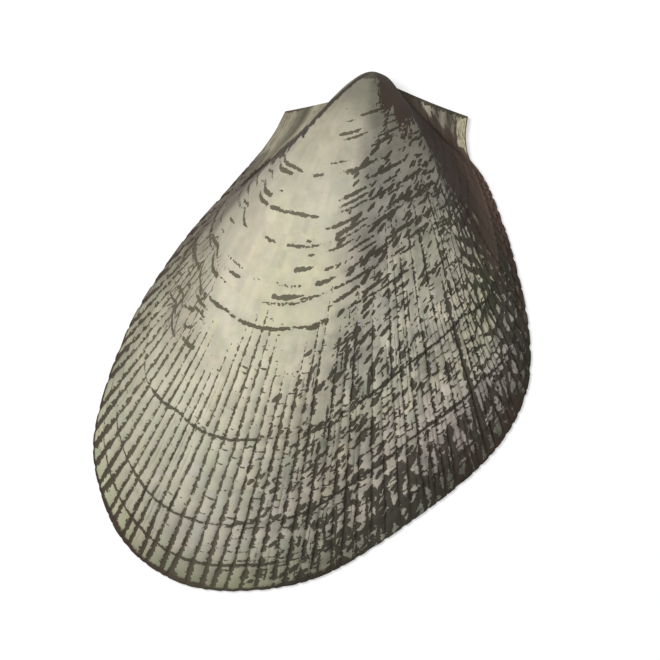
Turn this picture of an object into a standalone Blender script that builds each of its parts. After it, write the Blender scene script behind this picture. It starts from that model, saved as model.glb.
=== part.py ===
"""One valve of a file clam, lying on its rim with the outside up.

Metres, +Z up. The hinge side points along +Y, the rim lies in the plane z = 0, and the
origin is the middle of the footprint. The valve is built the way a clam grows it: every
growth line is the rim outline made smaller and turned up about the hinge, so the rows of
the surface follow a logarithmic spiral from the rim to the beak.
"""

import math

import bmesh
import bpy
import numpy as np
from mathutils import Matrix

# Lengths are millimetres, measured from the spiral's pole under the beak, and become
# metres, measured from the middle of the footprint, in settle().
MM = 0.001

# Rim outline: +X right, +Y toward the hinge.
LEFT_EAR_RIM = ((-15.1, -4.7), (-16.9, -8.2), (-19.1, -11.4))
BODY_RIM = (
    (-19.1, -11.4),
    (-25.2, -18.3),
    (-33.2, -27.6),
    (-41.4, -40.2),
    (-47.1, -55.0),
    (-48.3, -66.0),
    (-43.8, -78.6),
    (-34.5, -86.1),
    (-22.9, -88.0),
    (-8.2, -85.1),
    (8.8, -74.4),
    (20.8, -64.1),
    (26.7, -53.7),
    (27.2, -42.5),
    (24.2, -28.7),
    (20.1, -17.6),
    (16.6, -12.6),
)
RIGHT_EAR_RIM = ((16.6, -12.6), (16.2, -9.0), (16.6, -5.6))
RIM_LIP = 0.7  # height of the blunt edge of the dome
EAR_LIP = 1.3  # and of the thicker edge of an ear

COILING = 1.466  # how fast the growth spiral tightens: larger is a flatter valve
BEAK_LEAN = 1.2  # the beak bends this far to the right of where the spiral would put it
BEAK_END = (1.2, 0.3)  # where the beak has curled back to the rim plane
EAR_LIFT = 0.35  # an ear rises this share of what the dome would
EAR_FOLD = 4.0  # degrees, seen from the pole, over which an ear turns into the dome
LEFT_HINGE_DROP = 2.0  # the left ear's hinge line starts this far below the pole

RIB_COUNT = 74
RIB_DEPTH = 0.45
RIBS_START, RIBS_FULL = 0.2, 0.85  # the size of growth line where ribs start, and reach full depth
HALTS = ((0.34, 0.12), (0.49, 0.22), (0.69, 0.45), (0.845, 0.4), (0.93, 0.3))  # size, ledge height
LEDGE_RUN = 0.006  # in size: from the top of a ledge to its foot
LEDGE_FADE = 0.05  # in size: over which the shell swells up to a ledge
ROW_STEP = 0.075  # in size: the furthest apart that two rows of the outside lie
UMBO_SIZES = (0.28, 0.22, 0.165, 0.12, 0.085, 0.06, 0.042, 0.028)
EAR_COLUMNS = 4
THINNING = 4  # before the ribs start, one column in this many is enough
SHARP_DEGREES = 40  # folds in the surface steeper than this stay crisp

RIM_WIDTH = 2.7  # of the flat rim, between the outline and the cavity
CAVITY_LIP = 0.4  # height of the upright step between the flat rim and the cavity
CAVITY_POLE = (0.0, -7.6)
CAVITY_COILING = 1.43
CAVITY_COLUMNS = 40
CAVITY_SIZES = (1, 0.9, 0.8, 0.7, 0.6, 0.5, 0.4, 0.31, 0.235, 0.17, 0.12)
CUT_PAST = 1.0  # how far a cutter reaches out of the valve

CARDINAL_LINE = -3.4  # where the flat area under the beak meets the rim plane
CARDINAL_SLOPE = 25.0  # degrees
CARDINAL_REACH = 40.0  # the cutter's size, past both ears
PIT_LENGTH, PIT_WIDTH, PIT_DEPTH = 8.5, 5.0, 1.3
PIT_TURN = -8.0  # degrees that the ligament pit leans to the left


def smooth_step(low, high, value):
    share = np.clip((value - low) / (high - low), 0, 1)
    return share * share * (3 - 2 * share)


def smooth_line(points, steps=12):
    """A curve through the points, with Catmull-Rom tangents."""
    points = np.array(points, float)
    padded = np.vstack([2 * points[0] - points[1], points, 2 * points[-1] - points[-2]])
    share = np.linspace(0, 1, steps, endpoint=False)[:, None]
    pieces = [
        start
        + share * (end - before) / 2
        + share**2 * (2 * before - 5 * start + 4 * end - after) / 2
        + share**3 * (3 * start - before - 3 * end + after) / 2
        for before, start, end, after in zip(padded, padded[1:], padded[2:], padded[3:])
    ]
    return np.vstack([*pieces, points[-1:]])


def bearing(points):
    """Degrees to the right of straight down, seen from the pole."""
    x, y = np.asarray(points, float).T
    return np.degrees(np.arctan2(x, -y))


def rim_points(outline, bearings):
    """The outline's x and y at these bearings."""
    reach = np.interp(bearings, bearing(outline), np.hypot(*outline.T))
    angle = np.radians(bearings)
    return reach * np.sin(angle), -reach * np.cos(angle)


def ear_share(bearings):
    """0 on the dome, 1 on an ear."""
    left, right = bearing(BODY_RIM[0]), bearing(BODY_RIM[-1])
    return np.maximum(
        smooth_step(left + EAR_FOLD, left, bearings),
        smooth_step(right - EAR_FOLD, right, bearings),
    )


def grown(rim_x, rim_y, sizes, coiling):
    """The points of every growth line, one row for each size, before any lip."""
    size = np.asarray(sizes, float)[:, None]
    turn = -np.log(size) / coiling
    return np.stack(
        [size * rim_x, size * rim_y * np.cos(turn), -size * rim_y * np.sin(turn)], -1
    )


def outward(points):
    """Unit normals of a grid of points, out of the dome."""
    along, across = np.gradient(points, axis=0), np.gradient(points, axis=1)
    normal = np.cross(along, across)
    normal /= np.linalg.norm(normal, axis=-1, keepdims=True)
    return normal if normal[0, len(normal[0]) // 2, 2] > 0 else -normal


def outside_bearings():
    """One column on each rib and one in each groove, and a few on each ear."""
    left, right = bearing(LEFT_EAR_RIM[0]), bearing(RIGHT_EAR_RIM[-1])
    foot_left, foot_right = bearing(BODY_RIM[0]), bearing(BODY_RIM[-1])
    return np.concatenate(
        [
            np.linspace(left, foot_left, EAR_COLUMNS, endpoint=False),
            np.linspace(foot_left, foot_right, 2 * RIB_COUNT + 1),
            np.linspace(foot_right, right, EAR_COLUMNS + 1)[1:],
        ]
    )


def outside_sizes():
    """The sizes of the outside's rows: two at each ledge, and even steps between them."""
    stops = [1.0, *(size for size, _ in reversed(HALTS)), UMBO_SIZES[0]]
    sizes = [1.0]
    for start, end in zip(stops, stops[1:]):
        start = sizes[-1]
        steps = math.ceil((start - end) / ROW_STEP)
        sizes += list(np.linspace(start, end + LEDGE_RUN, steps + 1)[1:])
        sizes.append(end)
    return [*sizes, *UMBO_SIZES[1:]]


def relief(sizes, bearings):
    """How far ribs and ledges move the outside along its normal."""
    size = np.asarray(sizes, float)[:, None]
    swell = smooth_step(RIBS_START, RIBS_FULL, size) * size
    body = 1 - ear_share(bearings)
    rib = np.where(np.arange(len(bearings)) % 2, -0.5, 0.5)
    height = RIB_DEPTH * swell * rib * body
    for halt, ledge in HALTS:
        swelling = np.clip(1 - (halt - size) / LEDGE_FADE, 0, 1)
        height = height + ledge * swelling**2 * (size <= halt + 1e-9) * body
    return height


def outside_rows():
    outline = np.vstack([smooth_line(line) for line in (LEFT_EAR_RIM, BODY_RIM, RIGHT_EAR_RIM)])
    bearings, sizes = outside_bearings(), outside_sizes()
    rim_x, rim_y = rim_points(outline, bearings)
    points = grown(rim_x, rim_y, sizes, COILING)
    ear = ear_share(bearings)
    points[..., 2] *= 1 - (1 - EAR_LIFT) * ear
    points[..., 2] += RIM_LIP + (EAR_LIP - RIM_LIP) * ear
    youth = 1 - np.array(sizes)[:, None]
    points[..., 0] += BEAK_LEAN * youth**4
    points[..., 1] -= LEFT_HINGE_DROP * youth * ear * (bearings < 0)
    points += outward(points) * relief(sizes, bearings)[..., None]
    return [row[:: THINNING if size < RIBS_START else 1] for size, row in zip(sizes, points)]


def cavity_rows():
    edge = smooth_line(BODY_RIM)
    run = np.gradient(edge, axis=0)
    inward = np.stack([-run[:, 1], run[:, 0]], -1)
    inward *= RIM_WIDTH / np.linalg.norm(inward, axis=1, keepdims=True)
    outline = edge + inward - CAVITY_POLE
    bearings = np.linspace(bearing(outline[:1])[0], bearing(outline[-1:])[0], CAVITY_COLUMNS)
    points = grown(*rim_points(outline, bearings), CAVITY_SIZES, CAVITY_COILING)
    return points + (*CAVITY_POLE, CAVITY_LIP)


def closed_body(name, rows, floor, apex):
    """A solid under rows of points: walls straight down to the floor, and a flat bottom.

    Each row is as long as the one before it, or has one point for every THINNING of its
    steps. The last row closes on the apex, a point of the floor.
    """
    mesh = bmesh.new()
    rows = [[mesh.verts.new(point) for point in row] for row in rows]
    for row, smaller in zip(rows, rows[1:]):
        stride = (len(row) - 1) // (len(smaller) - 1)
        for place in range(len(smaller) - 1):
            base = row[place * stride : (place + 1) * stride + 1]
            mesh.faces.new((*base, smaller[place + 1], smaller[place]))
    left, right = [row[0] for row in rows], [row[-1] for row in rows]
    edge = left[::-1] + rows[0][1:] + right[1:]
    foot = [mesh.verts.new((*vert.co.xy, floor)) for vert in edge]
    for place in range(len(edge) - 1):
        mesh.faces.new((edge[place], foot[place], foot[place + 1], edge[place + 1]))
    tip = mesh.verts.new((*apex, floor))
    last = [foot[0], *rows[-1], foot[-1]]
    for here, after in zip(last, last[1:]):
        mesh.faces.new((here, after, tip))
    mesh.faces.new([*foot, tip])
    bmesh.ops.recalc_face_normals(mesh, faces=mesh.faces)
    return mesh_object(name, mesh)


def mesh_object(name, mesh):
    data = bpy.data.meshes.new(name)
    mesh.to_mesh(data)
    mesh.free()
    return bpy.data.objects.new(name, data)


def cardinal_cutter():
    """A wedge that leaves a flat, sloping area between the hinge line and the beak."""
    mesh = bmesh.new()
    bmesh.ops.create_cube(mesh, size=CARDINAL_REACH)
    half = CARDINAL_REACH / 2
    bmesh.ops.translate(mesh, vec=(0, half - CUT_PAST, -half), verts=mesh.verts)
    tilt = Matrix.Rotation(math.radians(CARDINAL_SLOPE), 3, "X")
    bmesh.ops.rotate(mesh, cent=(0, 0, 0), matrix=tilt, verts=mesh.verts)
    bmesh.ops.translate(mesh, vec=(0, CARDINAL_LINE, 0), verts=mesh.verts)
    return mesh_object("cutter_cardinal_area", mesh)


def ligament_pit_cutter():
    """A cone lying in the rim plane, its point under the beak."""
    mesh = bmesh.new()
    bmesh.ops.create_cone(
        mesh, cap_ends=True, segments=16, radius1=0.5, radius2=0.08, depth=PIT_LENGTH
    )
    lie_down = Matrix.Rotation(math.radians(-90), 3, "X")
    bmesh.ops.rotate(mesh, cent=(0, 0, 0), matrix=lie_down, verts=mesh.verts)
    bmesh.ops.translate(mesh, vec=(0, -PIT_LENGTH / 2, 0), verts=mesh.verts)
    bmesh.ops.scale(mesh, vec=(PIT_WIDTH, 1, 2 * PIT_DEPTH), verts=mesh.verts)
    turn = Matrix.Rotation(math.radians(PIT_TURN), 3, "Z")
    bmesh.ops.rotate(mesh, cent=(0, 0, 0), matrix=turn, verts=mesh.verts)
    return mesh_object("cutter_ligament_pit", mesh)


def settle(solid, cutters):
    """Puts the solid and its cutters about the middle of the footprint, in metres."""
    low, high = np.min(solid.bound_box, axis=0), np.max(solid.bound_box, axis=0)
    middle = Matrix.Translation((-(low[0] + high[0]) / 2, -(low[1] + high[1]) / 2, 0))
    for made in (solid, *cutters):
        made.data.transform(Matrix.Scale(MM, 4) @ middle)


def shell_material():
    material = bpy.data.materials.new("shell")
    material.use_nodes = True
    shader = material.node_tree.nodes["Principled BSDF"]
    shader.inputs["Base Color"].default_value = (0.42, 0.38, 0.28, 1)
    shader.inputs["Roughness"].default_value = 0.6
    shader.inputs["Metallic"].default_value = 0.0
    return material


def collection(name):
    made = bpy.data.collections.new(name)
    bpy.context.scene.collection.children.link(made)
    return made


def cut(solid, cutter, hidden):
    hidden.objects.link(cutter)
    cutter.hide_render = True
    cutter.display_type = "WIRE"
    difference = solid.modifiers.new(cutter.name, "BOOLEAN")
    difference.operation = "DIFFERENCE"
    difference.object = cutter


def main():
    for old in list(bpy.data.objects):
        bpy.data.objects.remove(old, do_unlink=True)
    parts, hidden = collection("file_clam_shell"), collection("cutters")
    valve = closed_body("valve", outside_rows(), 0, BEAK_END)
    cavity = closed_body("cutter_cavity", cavity_rows(), -CUT_PAST, CAVITY_POLE)
    cutters = cavity, cardinal_cutter(), ligament_pit_cutter()
    settle(valve, cutters)
    valve.data.materials.append(shell_material())
    valve.data.shade_smooth()
    valve.data.set_sharp_from_angle(angle=math.radians(SHARP_DEGREES))
    parts.objects.link(valve)
    for cutter in cutters:
        cut(valve, cutter, hidden)


main()
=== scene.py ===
"""The file clam valve, dressed: fine ribs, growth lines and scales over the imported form.

Metres and +Z up in the frame; lengths in the constants are millimetres, measured from the
pole of the growth spiral under the beak.
"""

from types import SimpleNamespace

import bmesh
import bpy
import numpy as np
from mathutils import Matrix, Vector
from mathutils.kdtree import KDTree


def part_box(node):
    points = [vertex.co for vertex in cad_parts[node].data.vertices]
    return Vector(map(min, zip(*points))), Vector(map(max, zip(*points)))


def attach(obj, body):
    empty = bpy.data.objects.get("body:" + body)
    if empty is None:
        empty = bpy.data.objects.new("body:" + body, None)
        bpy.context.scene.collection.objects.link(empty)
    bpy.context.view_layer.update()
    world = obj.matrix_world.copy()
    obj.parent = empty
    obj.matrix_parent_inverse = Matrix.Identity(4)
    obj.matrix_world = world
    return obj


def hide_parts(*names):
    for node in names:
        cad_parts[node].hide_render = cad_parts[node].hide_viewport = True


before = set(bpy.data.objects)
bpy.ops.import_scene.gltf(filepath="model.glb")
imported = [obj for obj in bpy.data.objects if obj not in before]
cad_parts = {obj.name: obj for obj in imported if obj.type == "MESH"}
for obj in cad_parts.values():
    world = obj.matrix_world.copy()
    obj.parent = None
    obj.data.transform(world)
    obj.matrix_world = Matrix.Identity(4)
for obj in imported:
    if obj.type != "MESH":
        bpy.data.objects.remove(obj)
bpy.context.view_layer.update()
box_low, box_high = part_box("valve")

MM = 0.001
SEED = 7

# Rim outline: +X right, +Y toward the hinge.
LEFT_EAR_RIM = ((-15.1, -4.7), (-16.9, -8.2), (-19.1, -11.4))
BODY_RIM = (
    (-19.1, -11.4), (-25.2, -18.3), (-33.2, -27.6), (-41.4, -40.2), (-47.1, -55.0),
    (-48.3, -66.0), (-43.8, -78.6), (-34.5, -86.1), (-22.9, -88.0), (-8.2, -85.1),
    (8.8, -74.4), (20.8, -64.1), (26.7, -53.7), (27.2, -42.5), (24.2, -28.7),
    (20.1, -17.6), (16.6, -12.6),
)
RIGHT_EAR_RIM = ((16.6, -12.6), (16.2, -9.0), (16.6, -5.6))
RIM_LIP = 0.7
EAR_LIP = 1.3

COILING = 1.466
BEAK_LEAN = 1.2
BEAK_END = (1.2, 0.3)
EAR_LIFT = 0.35
EAR_FOLD = 4.0
LEFT_HINGE_DROP = 2.0

# Tables hold pairs: a place, and the value there. Between places the value changes evenly.
RIBS = 74
RIB_DEPTH = 0.42
RIB_WIDTH = ((0, 0.8), (0.25, 0.88), (0.55, 1.15), (0.8, 1.12), (1, 0.95))  # left ear to right
RIB_WIDTH_SPREAD = 0.16
SPLIT_CHANCE = ((0.3, 0.1), (0.5, 0.45), (0.65, 0.95))  # that a finer groove splits a rib
GROOVE_HALF = 0.14  # half a groove's width, as a share of a rib
GROOVE_REACH = 0.3  # in ribs: the columns that wander with a groove
# Where a rib's columns lie, as shares of its width from the groove: six on a plain rib,
# and eight on one that a finer groove splits.
PLAIN_COLUMNS = (0.0, 0.09, 0.19, 0.5, 0.81, 0.91)
SPLIT_COLUMNS = (0.0, 0.09, 0.19, 0.42, 0.5, 0.58, 0.81, 0.91)
EAR_COLUMNS = 12
# The outside's rows: from this size to this one, in this many steps.
ROW_SPANS = ((1.0, 0.6, 96), (0.6, 0.3, 80), (0.3, 0.15, 40))
BEAK_ROWS = (0.15, 0.02, 15)
WIDEST_STRIDE = 4  # the youngest rows keep one column in so many

# Growth halts: age, height of the ledge, and how dark its line is left and right of the crest.
HALTS = (
    (0.275, 0.056, 0.9, 0.5), (0.345, 0.098, 1.0, 0.6), (0.392, 0.098, 1.0, 0.7),
    (0.452, 0.07, 0.6, 1.0), (0.482, 0.112, 0.7, 1.0), (0.525, 0.14, 1.0, 0.8),
    (0.575, 0.056, 0.3, 0.8), (0.705, 0.294, 0.95, 1.5), (0.775, 0.07, 0.2, 0.6),
    (0.862, 0.252, 1.2, 1.5), (0.945, 0.196, 1.4, 1.3),
)
LEDGE_FADE = 0.05
LEDGE_LINE = 0.0055  # half the width of a ledge's line, in age
BLOCK_ROWS = (3, 7)  # a rib's blocks are from 3 to 6 rows long
BLOCK_RISE = 0.14
EAR_LINE_RISE = 0.03
STRONG_GROOVE = 17.5  # the bearing of one groove darker than the rest
LATE_FROM = -9  # right of this bearing every other groove starts late
LATE_BY = 0.2

# By size, from 0 at the pole to 1 at the rim.
CREST = ((0.2, 4), (0.35, 8), (0.5, 8), (0.68, 14))  # how far left of straight down it runs
# The bearing of the dark line, painted shade in the fold where the dome meets the left ear, and
# half its width.
LEFT_FOLD = (
    (0.06, -14), (0.085, -22), (0.105, -27), (0.13, -32), (0.16, -34.5), (0.2, -37),
    (0.24, -39.5), (0.28, -42), (0.34, -45), (0.45, -49.5), (0.6, -52), (1.0, -55),
)
LEFT_FOLD_HALF = ((0.08, 5.5), (0.13, 4.5), (0.2, 4.0), (0.3, 3.6), (0.5, 2.6))
SHOULDER_TOP = ((0.6, -53.5), (0.83, -55.6), (0.95, -58))  # bearing of the left shoulder's edge
# How light the painted shade on the left shoulder is, by size.
SHOULDER_TONE = ((0.58, 0.95), (0.72, 0.68))
# How far the dome's painted shadow reaches over the right ear's root, by size.
EAR_SHADOW = ((0.45, 1.2), (0.6, 0.35), (0.85, 0.15), (0.95, -0.1))  # share of the right ear
# By bearing, in degrees right of straight down.
# How much larger than its age a growth line is: the young shell was rounder.
ROUNDER = (
    (-60, 1.9), (-51, 1.7), (-46, 1.4), (-41, 1.19), (-35, 1.11), (-30, 1.055), (-22, 1.03),
    (-12, 1.0), (-4, 0.965), (8, 0.95), (20, 0.95), (30, 1.05), (36, 1.2), (44, 1.35), (53, 1.5),
)
# The age at which the ribs begin.
RIBS_FROM = (
    (-60, 0.53), (-30, 0.54), (-18, 0.53), (-8, 0.46), (2, 0.4), (12, 0.38), (22, 0.4),
    (32, 0.36), (50, 0.36),
)
SCALINESS = ((-60, 0.3), (-30, 0.25), (-10, 0.45), (10, 0.9), (25, 1), (52, 1))
BLOCK_LINES = ((-60, 0.5), (-30, 0.45), (-18, 0.75), (-8, 0.75), (10, 1.0))
GROOVE_LINE = ((-60, 0.23), (-44, 0.18), (-30, 0.12), (-10, 0.11), (6, 0.06), (30, 0.06), (50, 0.1))
# How much paler the right slope is painted: painted light where the lamp's light falls off.
PALER = ((-12, 1.02), (-4, 1.28), (4, 1.5), (14, 1.42), (26, 1.34), (36, 1.1))

# Inside: the hollow starts in a rounded edge, as rise and distance from the outline.
CAVITY_EDGE = ((0.0, 1.5), (0.2, 1.62), (0.45, 2.0), (0.65, 2.45))
RIM_WIDTH = 2.7
CAVITY_LIP = 0.4
CAVITY_POLE = (0.0, -7.6)
CAVITY_COILING = 1.43
CAVITY_STEPS = 4  # columns to a rib
NOTCH_DEPTH = 0.16  # of the notches that the ribs leave along the inner edge
CUT_PAST = 1.0
CORNER = 62 * np.pi / 180  # edges that turn by more are shaded crisp

CARDINAL_LINE = -3.4
CARDINAL_SLOPE = 25.0
CARDINAL_REACH = 40.0
PIT_LENGTH, PIT_WIDTH, PIT_DEPTH = 8.5, 5.0, 1.3
PIT_TURN = -8.0
# The rim's underside is rounded: share of its height, distance in from the outline, and how
# far the ribs have faded there.
FOOT = ((0.45, 0.0, 0.0), (0.15, 0.08, 0.3), (0.0, 0.3, 1.0))
FOOT_HELD = 20  # points at either end of the foot, over which it comes in


# ---- the growth surface


def ramp(low, high, value):
    """Rises from 0 at low to 1 at high, level at both ends; high may be the lower number."""
    share = np.clip((value - low) / (high - low), 0, 1)
    return share * share * (3 - 2 * share)


def table(rows, place):
    """The value at a place, from pairs of place and value."""
    return np.interp(place, *zip(*rows))


def bump_at(middle, half_width, value):
    """1 at the middle, falling to 0 at half_width either side."""
    return np.clip(1 - np.abs(value - middle) / half_width, 0, 1)


def smooth_line(points, steps=12):
    """A curve through the points, with Catmull-Rom tangents."""
    points = np.array(points, float)
    padded = np.vstack([2 * points[0] - points[1], points, 2 * points[-1] - points[-2]])
    share = np.linspace(0, 1, steps, endpoint=False)[:, None]
    pieces = [
        start
        + share * (end - before) / 2
        + share**2 * (2 * before - 5 * start + 4 * end - after) / 2
        + share**3 * (3 * start - before - 3 * end + after) / 2
        for before, start, end, after in zip(padded, padded[1:], padded[2:], padded[3:])
    ]
    return np.vstack([*pieces, points[-1:]])


def bearing(points):
    """Degrees to the right of straight down, seen from the pole."""
    x, y = np.asarray(points, float).T
    return np.degrees(np.arctan2(x, -y))


def rim_points(outline, bearings):
    """The outline's x and y at these bearings."""
    reach = np.interp(bearings, bearing(outline), np.hypot(*outline.T))
    angle = np.radians(bearings)
    return reach * np.sin(angle), -reach * np.cos(angle)


FOOT_LEFT, FOOT_RIGHT = bearing((BODY_RIM[0], BODY_RIM[-1]))
END_LEFT, END_RIGHT = bearing((LEFT_EAR_RIM[0], RIGHT_EAR_RIM[-1]))


def left_foot(size):
    """The bearing where the dome stands on the left ear: partway out it draws in."""
    return FOOT_LEFT + 5.5 * ramp(0.3, 0.55, size) * ramp(1.0, 0.75, size)


def most(*values):
    """The largest of some values, point by point."""
    return np.maximum.reduce(values)


def ear_share(bearings, size):
    """0 on the dome, 1 on an ear."""
    left = left_foot(size)
    right = ramp(FOOT_RIGHT - EAR_FOLD, FOOT_RIGHT, bearings)
    return most(ramp(left + EAR_FOLD, left, bearings), right)


def grown(rim_x, rim_y, sizes, coiling):
    """Points on the growth spiral, before any lip."""
    turn = -np.log(sizes) / coiling
    return np.stack(
        [sizes * rim_x, sizes * rim_y * np.cos(turn), -sizes * rim_y * np.sin(turn)], -1
    )


def unit(vectors):
    return vectors / np.linalg.norm(vectors, axis=-1, keepdims=True)


def outward(points):
    """Unit normals of a grid of points, out of the dome."""
    normal = unit(np.cross(np.gradient(points, axis=0), np.gradient(points, axis=1)))
    return normal if normal[0, len(normal[0]) // 2, 2] > 0 else -normal


def inward(edge):
    """Unit normals of a flat edge that runs from left to right, into the valve."""
    return unit(np.gradient(edge, axis=0) @ ((0, 1), (-1, 0)))


def blurred(values, reach, axis=0):
    """A running mean with a round kernel, values held at the ends."""
    steps = np.arange(-3 * reach, 3 * reach + 1)
    kernel = np.exp(-0.5 * (steps / reach) ** 2)
    kernel /= kernel.sum()
    pad = [(0, 0)] * values.ndim
    pad[axis] = (3 * reach, 3 * reach)
    padded = np.pad(values, pad, mode="edge")
    return np.apply_along_axis(lambda line: np.convolve(line, kernel, "valid"), axis, padded)


def rough(rng, shape, down, across):
    """Smooth random values with a spread of 1, blurred this many cells each way."""
    field = rng.normal(size=shape)
    if down:
        field = blurred(field, down, 0)
    if across:
        field = blurred(field, across, 1)
    return field / field.std()


# ---- rows and columns


def rib_layout(rng):
    """Every column, as ribs counted from the left ear, every groove's bearing, and split ribs."""
    place = (np.arange(RIBS) + 0.5) / RIBS
    width = table(RIB_WIDTH, place) * (1 + RIB_WIDTH_SPREAD * rng.uniform(-1, 1, RIBS))
    edges = np.concatenate([[0], np.cumsum(width)]) / width.sum()
    split = rng.uniform(size=RIBS) < table(SPLIT_CHANCE, place)
    columns = [
        rib + share
        for rib in range(RIBS)
        for share in (SPLIT_COLUMNS if split[rib] else PLAIN_COLUMNS)
    ]
    # The widest stride has to divide the columns, and one more split rib adds two.
    spare = -len(columns) % WIDEST_STRIDE
    for rib in np.flatnonzero(~split)[-spare // 2 :] if spare else ():
        columns = [column for column in columns if int(column) != rib]
        columns += [rib + share for share in SPLIT_COLUMNS]
        split[rib] = True
    groove_bearing = FOOT_LEFT + (FOOT_RIGHT - FOOT_LEFT) * edges
    return np.array([*sorted(columns), RIBS]), groove_bearing, split


def outside_sizes():
    spans = [np.linspace(start, end, steps, endpoint=False) for start, end, steps in ROW_SPANS]
    return np.concatenate([*spans, np.geomspace(*BEAK_ROWS)])


def groove_wander(rng, rows):
    """How far each groove strays along its length, in ribs; the outermost two stay put."""
    wander = 0.018 * rough(rng, (rows, RIBS + 1), 1, 0)
    wander += 0.05 * rough(rng, (rows, RIBS + 1), 12, 0)
    wander[:, [0, -1]] = 0
    return wander


def growth_grid(rng):
    """Rows along growth lines and columns along ribs, and what each point lies near."""
    rib_at, groove_bearing, split = rib_layout(rng)
    left_ear = np.linspace(END_LEFT, FOOT_LEFT, EAR_COLUMNS, endpoint=False)
    right_ear = np.linspace(FOOT_RIGHT, END_RIGHT, EAR_COLUMNS + 1)[1:]
    ribs = np.concatenate([left_ear * 0, rib_at, right_ear * 0 + RIBS])
    rib = np.minimum(ribs.astype(int), RIBS - 1)  # the rib that a column is on
    near = np.rint(ribs).astype(int)  # the nearest groove
    beside = np.abs(ribs - near)  # how far from it, in ribs
    sizes, grooves = outside_sizes(), RIBS + 1

    moved = ribs + groove_wander(rng, len(sizes))[:, near] * (beside < GROOVE_REACH)
    bearings = np.interp(moved, np.arange(grooves), groove_bearing)
    bearings[:, :EAR_COLUMNS] = left_ear
    bearings[:, -EAR_COLUMNS:] = right_ear

    size = sizes[:, None]
    ribs_from = table(RIBS_FROM, bearings) + 0.04 * rough(rng, (1, grooves), 0, 1)[:, near]
    # Late grooves lie between two older ones. They stay weak, and the older ones are darker.
    late = (np.arange(grooves) % 2 == 1) ^ (rng.uniform(size=grooves) < 0.12)
    late = (late & (groove_bearing > LATE_FROM))[near]
    strong = near == np.argmin(np.abs(groove_bearing - STRONG_GROOVE))
    by_turns = ramp(4, 12, bearings) * ramp(0.95, 0.8, size)
    return SimpleNamespace(
        rng=rng,
        shape=bearings.shape,
        sizes=sizes,
        size=size + 0 * bearings,
        ribs=ribs,
        rib=rib,
        share=ribs - rib,  # how far across it
        near=near,
        strong=strong,
        weak=(late & ~strong) * by_turns,
        by_turns=by_turns,
        beside=beside,
        split=split,
        bearings=bearings,
        age=size / (1 + (table(ROUNDER, bearings) - 1) * (1 - ramp(0.78, 1.0, size))),
        ribs_from=ribs_from + LATE_BY * late,
        # 0 left of the crest, which runs down from the beak, and 1 right of it.
        crest=ramp(-7, 7, bearings + table(CREST, size)),
        ear=ear_share(bearings, size),
    )


def along_grooves(grid, down, across=0):
    """Random values that change along the grooves, and from one groove to the next."""
    return rough(grid.rng, (grid.shape[0], RIBS + 1), down, across)[:, grid.near]


def by_groove(grid, across):
    """Random values that hold along each groove."""
    return rough(grid.rng, (1, RIBS + 1), 0, across)[:, grid.near]


def patches(grid, down, across):
    """Smooth random patches, blurred by so many rows and ribs."""
    field = rough(grid.rng, (grid.shape[0], RIBS + 1), down, across)
    low = np.floor(grid.ribs).astype(int)
    high = np.minimum(low + 1, RIBS)
    part = grid.ribs - low
    return field[:, low] * (1 - part) + field[:, high] * part


# ---- the outside's relief


def smooth_outside(grid):
    """The dome and its ears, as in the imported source, before ribs and ledges."""
    outline = np.vstack([smooth_line(line) for line in (LEFT_EAR_RIM, BODY_RIM, RIGHT_EAR_RIM)])
    points = grown(*rim_points(outline, grid.bearings), grid.size, COILING)
    youth = 1 - grid.size
    points[..., 2] *= 1 - (1 - EAR_LIFT) * grid.ear
    points[..., 2] += RIM_LIP + (EAR_LIP - RIM_LIP) * grid.ear
    points[..., 0] += BEAK_LEAN * youth**4
    points[..., 1] -= LEFT_HINGE_DROP * youth * grid.ear * (grid.bearings < 0)
    return points


def scales(grid):
    """Each rib is a string of blocks: where they start, and how proud and tinted each is."""
    rng, rows = grid.rng, grid.shape[0]
    start_here = np.zeros((rows, RIBS))
    rise = np.zeros((rows, RIBS))
    tint = np.zeros((rows, RIBS, 3))
    common, row = [], 0
    while row < rows:
        common.append(row)
        row += rng.integers(*BLOCK_ROWS)
    for number in range(RIBS):
        kept = rng.uniform(size=len(common)) < 0.8
        own = {max(0, place + rng.integers(-1, 2)) for place, keep in zip(common, kept) if keep}
        own = sorted(place for place in own | {0} if place < rows)
        for start, end in zip(own, [*own[1:], rows]):
            start_here[start, number] = rng.uniform(0.5, 1.0)
            rise[start:end, number] = 1 - np.arange(end - start) / (end - start)
            tint[start:end, number] = rng.normal(size=3)
    scaly = table(SCALINESS, grid.bearings)
    scaly *= ramp(grid.ribs_from, grid.ribs_from + 0.15, grid.age)
    drawn = table(BLOCK_LINES, grid.bearings)
    drawn *= ramp(grid.ribs_from - 0.02, grid.ribs_from + 0.05, grid.age)
    # A mark along a block's edge starts at one side of the rib and crosses part of it.
    reach = rng.uniform(0.2, 1.1, (rows, RIBS))[:, grid.rib]
    from_left = rng.uniform(size=(rows, RIBS))[:, grid.rib] < 0.5
    crossed = np.where(from_left, grid.share, 1 - grid.share) < reach
    return SimpleNamespace(
        rise=rise[:, grid.rib] * scaly,
        edge=start_here[:, grid.rib] * crossed * drawn,
        tint=tint[:, grid.rib],
    )


def groove_depth(grid):
    """1 in a groove, falling to 0 beside it; the finer grooves that split ribs are shallower."""
    half = GROOVE_HALF * np.exp(0.2 * along_grooves(grid, 1) + 0.12 * along_grooves(grid, 6))
    groove = 1 - ramp(0.45 * half, 1.35 * half, grid.beside)
    strength = np.clip(0.5 + 0.6 * along_grooves(grid, 4), 0, 1)
    split = grid.split[grid.rib] & (np.abs(grid.share - 0.5) < 0.05)
    return most(groove, 0.45 * split * strength * ramp(0.45, 0.6, grid.size))


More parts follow.
